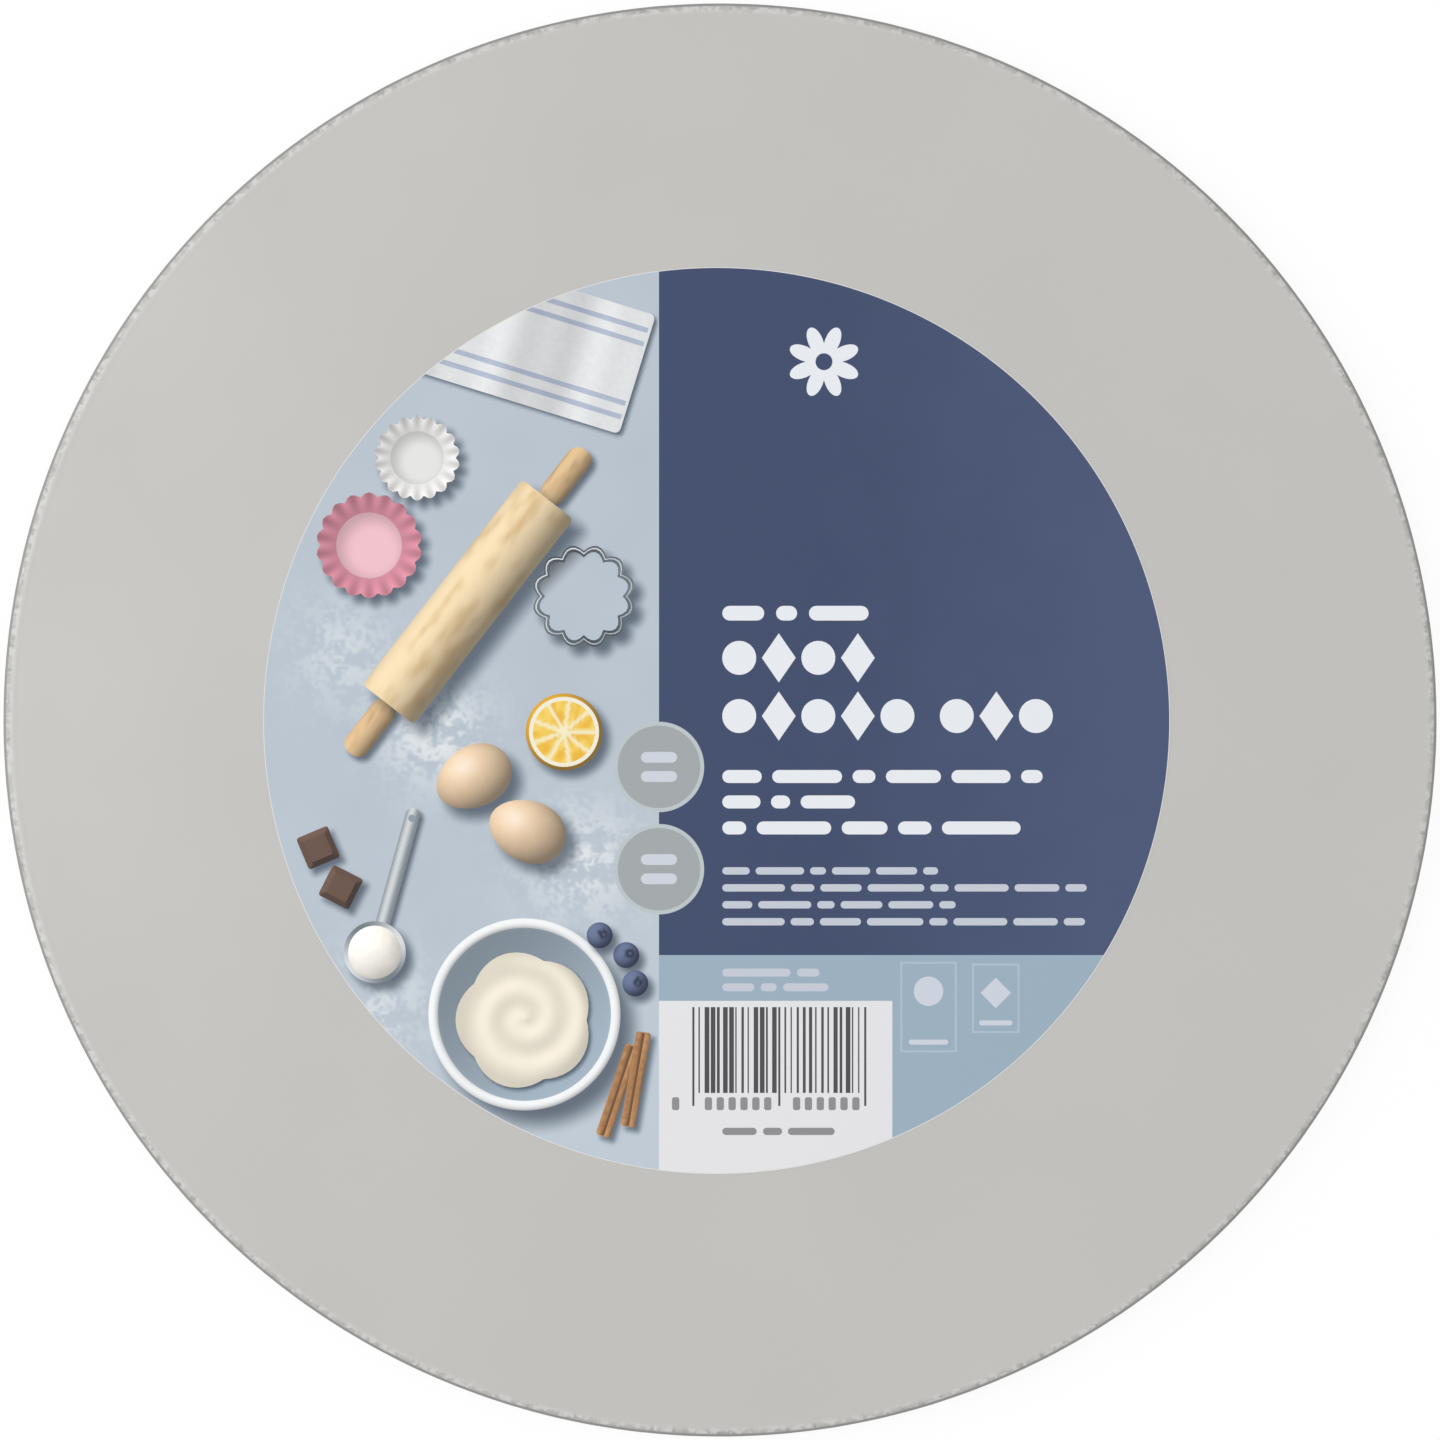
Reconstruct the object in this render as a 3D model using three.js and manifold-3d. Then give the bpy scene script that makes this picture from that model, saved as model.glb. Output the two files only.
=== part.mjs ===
// A round paper cake board and its printed label, in millimetres.
// +Z is up and +Y is the head of the print. The origin is the middle of the underside.

import * as THREE from "three";
import { mergeVertices } from "three/addons/utils/BufferGeometryUtils.js";
import Module from "manifold-3d";

const wasm = await Module();
wasm.setup();

// Board: card with foil paper drawn over it
const boardDiameter = 254;
const boardThickness = 3;
const topEdgeRadius = 0.8;
const bottomEdgeRadius = 1;
const edgeArcSteps = 3;

// Underside: the foil's margin, pleated and glued down, with backing paper over its ends
const bareFoilWidth = 7;
const backingStep = 0.25;
const pleatCount = 96;
const pleatHeight = 0.18;
// How far the pleats stray from even spacing and fullness, and the steps in radians of each sway
const pleatUnevenness = 0.2;
const pleatShiftSway = 2.4;
const pleatFullnessSway = 1.7;
// One pleat across: how far along its pitch, and how high there. It starts at the folded edge.
const pleatShape = [
  [0, 1],
  [0.12, 0],
  [0.5, 0.35],
  [0.85, 0.85],
];
// How much of the pleats' height is left where the foil turns up, and at the top of the wall
const pleatAtTurn = 0.7;
const pleatAtWallTop = 0.15;

// Label: a thin sheet of coated paper, printed on top
const labelDiameter = 160.5;
const labelThickness = 0.25;
const inkDepth = 0.05;
const labelOffsetX = -0.6;
const labelOffsetY = -0.1;
const labelSegments = 120;

// Print: the two halves meet at a seam, and the dark half stands on a pale band
const seamX = -10.2;
const bandTop = -41.5;
const textLeft = 1;

// White panel with its stripes
const panelWidth = 41.3;
const panelTop = -49.6;
const stripeCount = 29;
const stripesLeft = -4.3;
const stripesWidth = 31.5;
const stripesDrop = 1.1;
const stripeHeight = 15.2;
const guardExtra = 2.3;
const captionDrop = 22.4;
const captionWidth = 19.9;
const captionHeight = 1.4;

// Title: rows of beads and lozenges in turn, each row a list of how many stand together
const beadHeight = 8.7;
const beadWidth = 6;
const beadPitch = 7;
const beadGroups = [[4], [5, 3]];
const titleMiddle = 11.1;
const titleRowPitch = 10.3;

// Lines of print: right end, middle height, height of the bars and how many words
const textLines = [
  { right: 26.9, middle: 19, height: 2.6, words: 3 },
  { right: 57.7, middle: -9.9, height: 2.3, words: 6 },
  { right: 24.5, middle: -14.4, height: 2.3, words: 3 },
  { right: 53.8, middle: -19, height: 2.3, words: 5 },
  { right: 39.2, middle: -26.6, height: 1.3, words: 6 },
  { right: 65.5, middle: -29.6, height: 1.3, words: 8 },
  { right: 42.3, middle: -32.6, height: 1.3, words: 6 },
  { right: 65.2, middle: -35.6, height: 1.3, words: 8 },
  { right: 18.2, middle: -44.6, height: 1.4, words: 2 },
  { right: 19.8, middle: -47.2, height: 1.4, words: 3 },
];

// Round grey badges on the seam
const badgeRadius = 8;
const badgeRim = 0.7;
const badgeHeights = [-8.2, -26.3];
const badgeBarWidth = 6.4;
const badgeBarHeight = 1.9;
const badgeBarPitch = 3.4;

// Framed marks on the band
const markTop = -43.4;
const markFrame = 0.35;
const markLeft = 33.6;
const markWidth = 9;
const markHeight = 14;
const markPitch = 12;
const markFigure = 5;
const markBar = 0.9;

// Rosette near the head of the dark half
const rosetteX = 19;
const rosetteY = 63.5;
const rosetteRadius = 6.5;
const rosetteEye = 1.5;
const rosettePetals = 8;

const inks = {
  sky: 0xb9c5d1,
  navy: 0x4a5674,
  band: 0x9dafc2,
  panel: 0xe9e9ec,
  stripe: 0x4c4b4e,
  white: 0xe9edf2,
  badge: 0xacadb1,
  badgeRim: 0xc9cccf,
  wood: 0xd8c4a0,
  woodDark: 0xc2a77c,
  steel: 0x8d949b,
  pink: 0xd98fa0,
  pinkPale: 0xecc3cc,
  egg: 0xe6cfb2,
  yolk: 0xf0bd35,
  lemonRind: 0xe3a92a,
  cream: 0xf1ece2,
  enamel: 0xe4e6e8,
  berry: 0x3f4866,
  cocoa: 0x5a4a46,
  cloth: 0xdfe0e0,
  clothStripe: 0x8b9ab3,
};

// Closed geometry as a solid. Only its positions are kept, with shared corners merged.
function solidOf(geometry) {
  const bare = geometry.clone();
  bare.deleteAttribute("normal");
  bare.deleteAttribute("uv");
  const merged = mergeVertices(bare, 1e-5);
  return new wasm.Manifold(
    new wasm.Mesh({
      numProp: 3,
      vertProperties: merged.getAttribute("position").array,
      triVerts: new Uint32Array(merged.index.array),
    }),
  );
}

// Height of the pleats round the board: one entry for each line that runs in from the edge
function pleatLines() {
  const lines = [];
  const startOf = (pleat) =>
    pleat + pleatUnevenness * Math.sin(pleatShiftSway * (pleat % pleatCount));
  for (let pleat = 0; pleat < pleatCount; pleat += 1) {
    const width = startOf(pleat + 1) - startOf(pleat);
    const fullness = 1 - pleatUnevenness * (1 + Math.sin(pleatFullnessSway * pleat));
    for (const [along, height] of pleatShape) {
      const angle = (2 * Math.PI * (startOf(pleat) + along * width)) / pleatCount;
      lines.push({ angle, height: height * fullness });
    }
  }
  return lines;
}

// Half section of the board from the middle of the underside to the middle of the top.
// slope is the direction that the surface faces, and pleats how much of them is felt there.
function boardSection() {
  const radius = boardDiameter / 2;
  const wall = boardThickness - backingStep;
  const topRound = Math.min(topEdgeRadius, 0.45 * wall);
  const bottomRound = Math.min(bottomEdgeRadius, 0.45 * wall);
  const backingRadius = radius - bareFoilWidth;
  const down = -Math.PI / 2;
  const section = [
    { r: 0, z: 0, slope: down, pleats: 0 },
    { r: backingRadius, z: 0, slope: down, pleats: 0 },
    { r: backingRadius, z: backingStep, slope: down, pleats: 1 },
  ];
  for (let i = 0; i <= edgeArcSteps; i += 1) {
    const slope = down + (i / edgeArcSteps) * (Math.PI / 2);
    section.push({
      r: radius - bottomRound + bottomRound * Math.cos(slope),
      z: backingStep + bottomRound + bottomRound * Math.sin(slope),
      slope,
      pleats: pleatAtTurn,
    });
  }
  for (let i = 0; i <= edgeArcSteps; i += 1) {
    const slope = (i / edgeArcSteps) * (Math.PI / 2);
    section.push({
      r: radius - topRound + topRound * Math.cos(slope),
      z: boardThickness - topRound + topRound * Math.sin(slope),
      slope,
      pleats: pleatAtWallTop * (1 - i / edgeArcSteps),
    });
  }
  section.push({ r: 0, z: boardThickness, slope: Math.PI / 2, pleats: 0 });
  return section;
}

// The board is its section turned about Z, with the pleats' valleys pressed in from the skin.
function boardGeometry() {
  const section = boardSection();
  const lines = pleatLines();
  const profile = section.map(({ r, z }) => new THREE.Vector2(r, z));
  const geometry = new THREE.LatheGeometry(profile, lines.length);
  const position = geometry.getAttribute("position");
  for (let i = 0; i <= lines.length; i += 1) {
    const { angle, height } = lines[i % lines.length];
    section.forEach(({ r, z, slope, pleats }, j) => {
      const valley = pleatHeight * pleats * (1 - height);
      const reach = r - valley * Math.cos(slope);
      position.setXYZ(
        i * section.length + j,
        reach * Math.cos(angle),
        reach * Math.sin(angle),
        z - valley * Math.sin(slope),
      );
    });
  }
  geometry.computeVertexNormals();
  return geometry;
}

function disc(x, y, radius) {
  return oval(x, y, radius, radius, 0);
}

function oval(x, y, halfLength, halfWidth, turn) {
  const shape = new THREE.Shape();
  shape.absellipse(x, y, halfLength, halfWidth, 0, 2 * Math.PI, false, turn);
  return shape;
}

function polygon(points) {
  return new THREE.Shape(points.map(([x, y]) => new THREE.Vector2(x, y)));
}

function block(left, top, width, height) {
  return polygon([
    [left, top - height],
    [left + width, top - height],
    [left + width, top],
    [left, top],
  ]);
}

// Rectangle about its middle, turned by an angle
function turnedBlock(x, y, length, width, turn) {
  const [c, s] = [Math.cos(turn), Math.sin(turn)];
  const corners = [
    [-1, -1],
    [1, -1],
    [1, 1],
    [-1, 1],
  ];
  return polygon(
    corners.map(([u, v]) => [
      x + (u * c * length - v * s * width) / 2,
      y + (u * s * length + v * c * width) / 2,
    ]),
  );
}

// Round outline of full lobes that meet in sharp valleys, as of a fluted case or a rosette
function lobed(x, y, radius, lobes, depth, pointsPerLobe) {
  const count = lobes * pointsPerLobe;
  return polygon(
    Array.from({ length: count }, (_, i) => {
      const angle = (2 * Math.PI * i) / count;
      const reach = radius - depth * (1 - Math.abs(Math.sin((lobes * angle) / 2)));
      return [x + reach * Math.cos(angle), y + reach * Math.sin(angle)];
    }),
  );
}

function lozenge(x, y, width, height) {
  return polygon([
    [x - width / 2, y],
    [x, y - height / 2],
    [x + width / 2, y],
    [x, y + height / 2],
  ]);
}

// A line of print as one bar for each word, with word lengths that vary by rule
function wordBars({ right, middle, height, words }) {
  const gap = 0.8 * height;
  const lengths = Array.from({ length: words }, (_, i) => 1 + 0.55 * Math.sin(2.3 * i + words));
  const scale = (right - textLeft - gap * (words - 1)) / lengths.reduce((a, b) => a + b);
  let left = textLeft;
  return lengths.map((length) => {
    const bar = block(left, middle + height / 2, length * scale, height);
    left += length * scale + gap;
    return { shape: bar, ink: inks.white };
  });
}

// Rolling pin: a turned body with a handle at each end
function rollingPin(x, y, turn) {
  const bodyLength = 46;
  const bodyWidth = 11.5;
  const gripLength = 10.5;
  const gripWidth = 4.6;
  const reach = (bodyLength + gripLength) / 2;
  const along = (distance) => [x + distance * Math.cos(turn), y + distance * Math.sin(turn)];
  return [
    { shape: turnedBlock(...along(-reach), gripLength, gripWidth, turn), ink: inks.woodDark },
    { shape: turnedBlock(...along(reach), gripLength, gripWidth, turn), ink: inks.woodDark },
    { shape: turnedBlock(x, y, bodyLength, bodyWidth, turn), ink: inks.wood },
  ];
}

// Paper case seen from above: fluted wall and flat base
function paperCase(x, y, radius, wall, base) {
  return [
    { shape: lobed(x, y, radius, 18, 0.8, 4), ink: wall },
    { shape: disc(x, y, 0.62 * radius), ink: base },
  ];
}

function biscuitCutter(x, y, radius) {
  const rim = 1;
  return [
    { shape: lobed(x, y, radius, 12, 1.2, 6), ink: inks.steel },
    { shape: lobed(x, y, radius - rim, 12, 1.2, 6), ink: inks.sky },
  ];
}

function halfLemon(x, y, radius) {
  return [
    { shape: disc(x, y, radius), ink: inks.lemonRind },
    { shape: disc(x, y, 0.9 * radius), ink: inks.cream },
    { shape: disc(x, y, 0.8 * radius), ink: inks.yolk },
  ];
}

function mixingBowl(x, y, radius) {
  return [
    { shape: disc(x, y, radius), ink: inks.enamel },
    { shape: disc(x, y, 0.9 * radius), ink: inks.band },
    { shape: lobed(x, y - 1, 0.72 * radius, 5, 1.2, 8), ink: inks.cream },
  ];
}

function measuringSpoon(x, y, radius, turn) {
  const handle = 22;
  const reach = radius + handle / 2 - 1;
  const [handleX, handleY] = [x + reach * Math.cos(turn), y + reach * Math.sin(turn)];
  return [
    { shape: turnedBlock(handleX, handleY, handle, 2.6, turn), ink: inks.steel },
    { shape: disc(x, y, radius), ink: inks.steel },
    { shape: disc(x, y, 0.8 * radius), ink: inks.cream },
  ];
}

// Striped cloth whose corner reaches into the picture
function stripedCloth(x, y, turn) {
  const [length, width, hem] = [46, 22, 0.5];
  const stripes = [-8, -5.5, 5.5, 8].map((across) => ({
    shape: turnedBlock(
      x - across * Math.sin(turn),
      y + across * Math.cos(turn),
      length - 2 * hem,
      0.9,
      turn,
    ),
    ink: inks.clothStripe,
  }));
  return [{ shape: turnedBlock(x, y, length, width, turn), ink: inks.cloth }, ...stripes];
}

// Baking things laid out on a pale table, on the left half of the label
function picture() {
  const eggs = [
    [-43, -10, 0.5],
    [-33.5, -19.5, -0.4],
  ];
  const berries = [
    [-16, -41.5],
    [-20.7, -38],
    [-14.4, -46.5],
  ];
  const squares = [
    [-70.5, -22.5, 0.4],
    [-66.5, -29.5, 1.1],
  ];
  const sticks = [
    [-17.5, -65.5, 1.25],
    [-14.3, -63.5, 1.4],
  ];
  return [
    ...stripedCloth(-36, 68, -0.3),
    ...rollingPin(-44, 21, 0.91),
    ...paperCase(-61.5, 31, 9.4, inks.pink, inks.pinkPale),
    ...paperCase(-53, 46.5, 7.6, inks.panel, inks.cloth),
    ...biscuitCutter(-23.5, 22, 9.2),
    ...halfLemon(-27, -2, 6.8),
    ...mixingBowl(-34, -52, 17),
    ...measuringSpoon(-60.5, -41, 5.5, 1.3),
    ...eggs.map(([x, y, turn]) => ({ shape: oval(x, y, 7, 5.4, turn), ink: inks.egg })),
    ...berries.map(([x, y]) => ({ shape: disc(x, y, 2.3), ink: inks.berry })),
    ...squares.map(([x, y, turn]) => ({ shape: turnedBlock(x, y, 6, 6, turn), ink: inks.cocoa })),
    ...sticks.map(([x, y, turn]) => ({
      shape: turnedBlock(x, y, 17, 2.6, turn),
      ink: inks.woodDark,
    })),
  ];
}

// Stripes of uneven width on the white panel, the outer and middle ones longer
function stripes() {
  const pitch = stripesWidth / stripeCount;
  const middle = (stripeCount - 1) / 2;
  return Array.from({ length: stripeCount }, (_, i) => {
    const isGuard = i < 1 || i === middle || i > stripeCount - 2;
    const width = pitch * (isGuard ? 0.35 : 0.5 + 0.28 * Math.sin(5.1 * i * i));
    const height = stripeHeight + (isGuard ? guardExtra : 0);
    const left = stripesLeft + i * pitch;
    return { shape: block(left, panelTop - stripesDrop, width, height), ink: inks.stripe };
  });
}

function title() {
  const groupGap = 0.5;
  return beadGroups.flatMap((groups, row) => {
    const y = titleMiddle - row * titleRowPitch;
    let place = 0;
    return groups.flatMap((count) => {
      const first = place;
      place += count + groupGap;
      return Array.from({ length: count }, (_, i) => {
        const x = textLeft + beadWidth / 2 + (first + i) * beadPitch;
        const isBead = i % 2 === 0;
        const shape = isBead ? disc(x, y, beadWidth / 2) : lozenge(x, y, beadWidth, beadHeight);
        return { shape, ink: inks.white };
      });
    });
  });
}

function badges() {
  return badgeHeights.flatMap((y) => [
    { shape: disc(seamX, y, badgeRadius), ink: inks.badgeRim },
    { shape: disc(seamX, y, badgeRadius - badgeRim), ink: inks.badge },
    ...[0.5, -0.5].map((row) => ({
      shape: block(
        seamX - badgeBarWidth / 2,
        y + row * badgeBarPitch + badgeBarHeight / 2,
        badgeBarWidth,
        badgeBarHeight,
      ),
      ink: inks.white,
    })),
  ]);
}

function rosette() {
  const petalDepth = 0.5 * rosetteRadius;
  return [
    {
      shape: lobed(rosetteX, rosetteY, rosetteRadius, rosettePetals, petalDepth, 8),
      ink: inks.white,
    },
    { shape: disc(rosetteX, rosetteY, rosetteEye), ink: inks.navy },
  ];
}

// Thin frames, each round a small plain figure with a bar under it
function marks() {
  const figures = [
    (x, y) => disc(x, y, markFigure / 2),
    (x, y) => lozenge(x, y, markFigure, markFigure),
  ];
  return figures.flatMap((figure, i) => {
    const left = markLeft + i * markPitch;
    const inside = markWidth - 2 * markFrame;
    const barWidth = 0.6 * inside;
    const middle = left + markWidth / 2;
    const figureY = markTop - 0.4 * markHeight;
    return [
      { shape: block(left, markTop, markWidth, markHeight), ink: inks.badgeRim },
      {
        shape: block(left + markFrame, markTop - markFrame, inside, markHeight - 2 * markFrame),
        ink: inks.band,
      },
      { shape: figure(middle, figureY), ink: inks.white },
      {
        shape: block(middle - barWidth / 2, markTop - 0.78 * markHeight, barWidth, markBar),
        ink: inks.white,
      },
    ];
  });
}

// All print from the first ink laid down to the last
function printedFields() {
  const reach = labelDiameter / 2;
  const across = reach - seamX;
  return [
    ...picture(),
    { shape: block(seamX, reach, across, reach - bandTop), ink: inks.navy },
    { shape: block(seamX, bandTop, across, reach + bandTop), ink: inks.band },
    { shape: block(seamX, panelTop, panelWidth, reach + panelTop), ink: inks.panel },
    ...stripes(),
    { shape: block(textLeft, panelTop - captionDrop, captionWidth, captionHeight), ink: inks.stripe },
    ...title(),
    ...textLines.flatMap(wordBars),
    ...rosette(),
    ...marks(),
    ...badges(),
  ];
}

function roundSheet(radius, from, to) {
  const sheet = new THREE.CylinderGeometry(radius, radius, to - from, labelSegments);
  sheet.rotateX(Math.PI / 2);
  sheet.translate(0, 0, (from + to) / 2);
  return solidOf(sheet);
}

// One sheet of paper. The ink is the top of the same solid, in one patch for each printed field.
function labelGeometry() {
  const inkBottom = labelThickness - inkDepth;
  const inkOf = new Map();
  const patches = [];
  const keep = (solid, ink) => {
    const patch = solid.asOriginal();
    inkOf.set(patch.originalID(), new THREE.Color(ink));
    patches.push(patch);
  };
  let open = roundSheet(labelDiameter / 2, inkBottom, labelThickness);
  for (const { shape, ink } of printedFields().reverse()) {
    const stamp = new THREE.ExtrudeGeometry(shape, { depth: 1, bevelEnabled: false, curveSegments: 16 });
    const prism = solidOf(stamp);
    const patch = open.intersect(prism);
    if (!patch.isEmpty()) {
      keep(patch, ink);
      open = open.subtract(prism);
    }
  }
  keep(open, inks.sky);
  keep(roundSheet(labelDiameter / 2, 0, inkBottom), inks.panel);
  // Rounding leaves hair-thin specks between patches. They are bodies of their own and fall away.
  const bodies = wasm.Manifold.union(patches).decompose();
  const sheet = bodies.reduce((a, b) => (a.volume() > b.volume() ? a : b));
  const { vertProperties, triVerts, runIndex, runOriginalID } = sheet.getMesh();
  const places = [];
  const colours = [];
  runOriginalID.forEach((id, run) => {
    for (let corner = runIndex[run]; corner < runIndex[run + 1]; corner += 1) {
      const first = 3 * triVerts[corner];
      places.push(...vertProperties.subarray(first, first + 3));
      colours.push(...inkOf.get(id).toArray());
    }
  });
  const geometry = new THREE.BufferGeometry();
  geometry.setAttribute("position", new THREE.Float32BufferAttribute(places, 3));
  geometry.setAttribute("color", new THREE.Float32BufferAttribute(colours, 3));
  geometry.computeVertexNormals();
  return geometry;
}

const cakeBoard = new THREE.Group();

const board = new THREE.Mesh(
  boardGeometry(),
  new THREE.MeshStandardMaterial({ color: 0xc3c1be, roughness: 0.38, metalness: 1 }),
);
board.name = "board";
cakeBoard.add(board);

const label = new THREE.Mesh(
  labelGeometry(),
  new THREE.MeshStandardMaterial({ vertexColors: true, roughness: 0.45, metalness: 0 }),
);
label.name = "label";
label.position.set(labelOffsetX, labelOffsetY, boardThickness);
cakeBoard.add(label);

export default cakeBoard;
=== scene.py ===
import bpy
import numpy as np
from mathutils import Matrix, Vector, noise
from mathutils.geometry import delaunay_2d_cdt


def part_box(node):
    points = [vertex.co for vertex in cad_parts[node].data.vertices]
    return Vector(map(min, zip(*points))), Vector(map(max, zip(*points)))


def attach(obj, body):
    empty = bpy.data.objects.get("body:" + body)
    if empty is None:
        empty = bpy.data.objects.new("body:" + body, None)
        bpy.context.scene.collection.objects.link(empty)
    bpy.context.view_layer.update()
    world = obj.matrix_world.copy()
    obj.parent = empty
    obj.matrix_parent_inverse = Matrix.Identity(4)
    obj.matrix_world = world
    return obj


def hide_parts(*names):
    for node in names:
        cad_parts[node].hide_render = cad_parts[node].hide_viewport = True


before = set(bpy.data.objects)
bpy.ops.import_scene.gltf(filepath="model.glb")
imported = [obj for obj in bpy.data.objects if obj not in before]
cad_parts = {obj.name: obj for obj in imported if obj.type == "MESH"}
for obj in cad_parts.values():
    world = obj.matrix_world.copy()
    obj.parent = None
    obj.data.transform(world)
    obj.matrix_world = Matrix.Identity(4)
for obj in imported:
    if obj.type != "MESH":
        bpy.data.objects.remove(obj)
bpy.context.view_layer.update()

# Board: a disc of card with silver foil paper drawn over its top and turned round the edge, so
# that the edge is a soft shoulder. The margin is glued down underneath in small pleats, and a
# round backing paper is stuck over their ends.

mm = 0.001
board_radius = 127 * mm
backing_radius = 120 * mm
backing_step = 0.25 * mm


def colour(code):
    """An sRGB hex value as three shares."""
    return np.array([int(code[i : i + 2], 16) / 255 for i in (1, 3, 5)])


def to_linear(shares):
    """sRGB shares as shares of linear light."""
    return np.where(shares <= 0.04045, shares / 12.92, ((shares + 0.055) / 1.055) ** 2.4)


def linear(code):
    """An sRGB hex value as linear red, green, blue and alpha, for a socket."""
    return [*to_linear(colour(code)), 1]


def add(tree, kind, links=None, **settings):
    """Adds a node, sets or joins its inputs, and gives its first output that is in use."""
    node = tree.nodes.new(kind)
    for name, value in settings.items():
        setattr(node, name, value)
    for name, source in (links or {}).items():
        named = [s for s in node.inputs if s.enabled and s.name == name]
        socket = node.inputs[name] if isinstance(name, int) else named[0]
        if isinstance(source, bpy.types.NodeSocket):
            tree.links.new(source, socket)
        else:
            socket.default_value = source
    return next((s for s in node.outputs if s.enabled), None)


def new_material(name):
    """A material with an empty node tree."""
    made = bpy.data.materials.new(name)
    made.use_nodes = True
    made.node_tree.nodes.clear()
    return made


# Aluminium foil laminated to paper, satin side out: an even warm grey metal with a soft broad
# sheen. Towards the edge it crinkles in short radial creases. On the shoulder its colour has a
# patchy paler band of painted highlights with small pits of painted shade, and where it turns
# down it is painted darker as shade.
foil = new_material("aluminium_foil_paper_satin")
# Distances from the board's middle at which these begin and are full
creases_from, creases_full = 124.2 * mm, 126.2 * mm
shoulder_from, shoulder_full = 125 * mm, 126.2 * mm
turn_from, turn_full = 126.3 * mm, 126.55 * mm
nodes = foil.node_tree
place = add(nodes, "ShaderNodeTexCoord").node.outputs["Object"]
flat_place = add(nodes, "ShaderNodeVectorMath", {0: place, 1: (1, 1, 0)}, operation="MULTIPLY")
from_middle = add(
    nodes, "ShaderNodeVectorMath", {0: flat_place}, operation="LENGTH"
).node.outputs["Value"]
height = add(nodes, "ShaderNodeSeparateXYZ", {0: place}).node.outputs["Z"]
outward = add(nodes, "ShaderNodeVectorMath", {0: flat_place}, operation="NORMALIZE")
# Radial creases about 1.6 mm apart at the edge
creases = add(
    nodes,
    "ShaderNodeTexNoise",
    {"Vector": outward, "Scale": board_radius / (1.6 * mm), "Detail": 2, "Roughness": 0.6},
)
# Crumples of about 0.9 mm
crumples = add(
    nodes, "ShaderNodeTexNoise", {"Vector": place, "Scale": 1 / (0.9 * mm), "Detail": 2}
)
crinkle = add(nodes, "ShaderNodeMath", {0: creases, 1: crumples}, operation="ADD")
near_edge = add(
    nodes,
    "ShaderNodeMapRange",
    {"Value": from_middle, "From Min": creases_from, "From Max": creases_full},
    interpolation_type="SMOOTHSTEP",
)
# Underneath, the gathered margin is creased over its whole width
underneath = add(
    nodes,
    "ShaderNodeMapRange",
    {"Value": height, "From Min": 1.2 * mm, "From Max": 0.5 * mm},
)
creased = add(nodes, "ShaderNodeMath", {0: near_edge, 1: underneath}, operation="MAXIMUM")
edge_relief = add(nodes, "ShaderNodeMath", {0: crinkle, 1: creased}, operation="MULTIPLY")
crease_height = 0.05 * mm
edge_height = add(
    nodes, "ShaderNodeMath", {0: edge_relief, 1: crease_height}, operation="MULTIPLY"
)
# The card's fibres show through the foil as a relief of a few micrometres, 0.7 mm apart
fibre_height = 0.006 * mm
fibres = add(
    nodes,
    "ShaderNodeTexNoise",
    {"Vector": place, "Scale": 1 / (0.7 * mm), "Detail": 3, "Roughness": 0.55},
)
relief = add(
    nodes, "ShaderNodeMath", {0: fibres, 1: fibre_height, 2: edge_height}, operation="MULTIPLY_ADD"
)
bump = add(nodes, "ShaderNodeBump", {"Strength": 1, "Distance": 1, "Height": relief})
# Slight unevenness of tone over 45 mm
clouds = add(
    nodes, "ShaderNodeTexNoise", {"Vector": place, "Scale": 1 / (45 * mm), "Detail": 3}
)
tone = add(
    nodes,
    "ShaderNodeMix",
    {"Factor": clouds, "A": linear("#bebdba"), "B": linear("#c3c2bf")},
    data_type="RGBA",
)
# Painted highlight: a patchy paler band on the shoulder, where crumples of 1.3 mm catch the light
shoulder = add(
    nodes,
    "ShaderNodeMapRange",
    {"Value": from_middle, "From Min": shoulder_from, "From Max": shoulder_full},
    interpolation_type="SMOOTHSTEP",
)
dents = add(
    nodes, "ShaderNodeTexNoise", {"Vector": place, "Scale": 1 / (1.3 * mm), "Detail": 3}
)
patches = add(
    nodes,
    "ShaderNodeMapRange",
    {"Value": dents, "From Min": 0.47, "From Max": 0.56, "To Min": 0.1, "To Max": 1.0},
)
shoulder_glint_share = add(nodes, "ShaderNodeMath", {0: shoulder, 1: patches}, operation="MULTIPLY")
with_painted_glints = add(
    nodes,
    "ShaderNodeMix",
    {"Factor": shoulder_glint_share, "A": tone, "B": linear("#d2d1d0")},
    data_type="RGBA",
)
# Between them are small pits of painted shade, in the hollows of the crinkles
pit_shade = add(
    nodes,
    "ShaderNodeMapRange",
    {"Value": crinkle, "From Min": 0.92, "From Max": 0.82, "To Max": 0.6},
)
pit_shade_share = add(nodes, "ShaderNodeMath", {0: shoulder, 1: pit_shade}, operation="MULTIPLY")
with_painted_pits = add(
    nodes,
    "ShaderNodeMix",
    {"Factor": pit_shade_share, "A": with_painted_glints, "B": linear("#a9a8a7")},
    data_type="RGBA",
)
# Painted shade: where the foil turns down over the edge, its colour is darker
turn_shade_share = add(
    nodes,
    "ShaderNodeMapRange",
    {"Value": from_middle, "From Min": turn_from, "From Max": turn_full},
)
with_painted_turn_shade = add(
    nodes,
    "ShaderNodeMix",
    {"Factor": turn_shade_share, "A": with_painted_pits, "B": linear("#a3a2a1")},
    data_type="RGBA",
)
# Underneath, the margin is as bright as the top, without the shoulder's painted highlights and
# shade
on_top = add(
    nodes,
    "ShaderNodeMapRange",
    {"Value": height, "From Min": 0.6 * mm, "From Max": 1.6 * mm},
)
either_side = add(
    nodes, "ShaderNodeMix", {"Factor": on_top, "A": tone, "B": with_painted_turn_shade}, data_type="RGBA"
)
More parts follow.
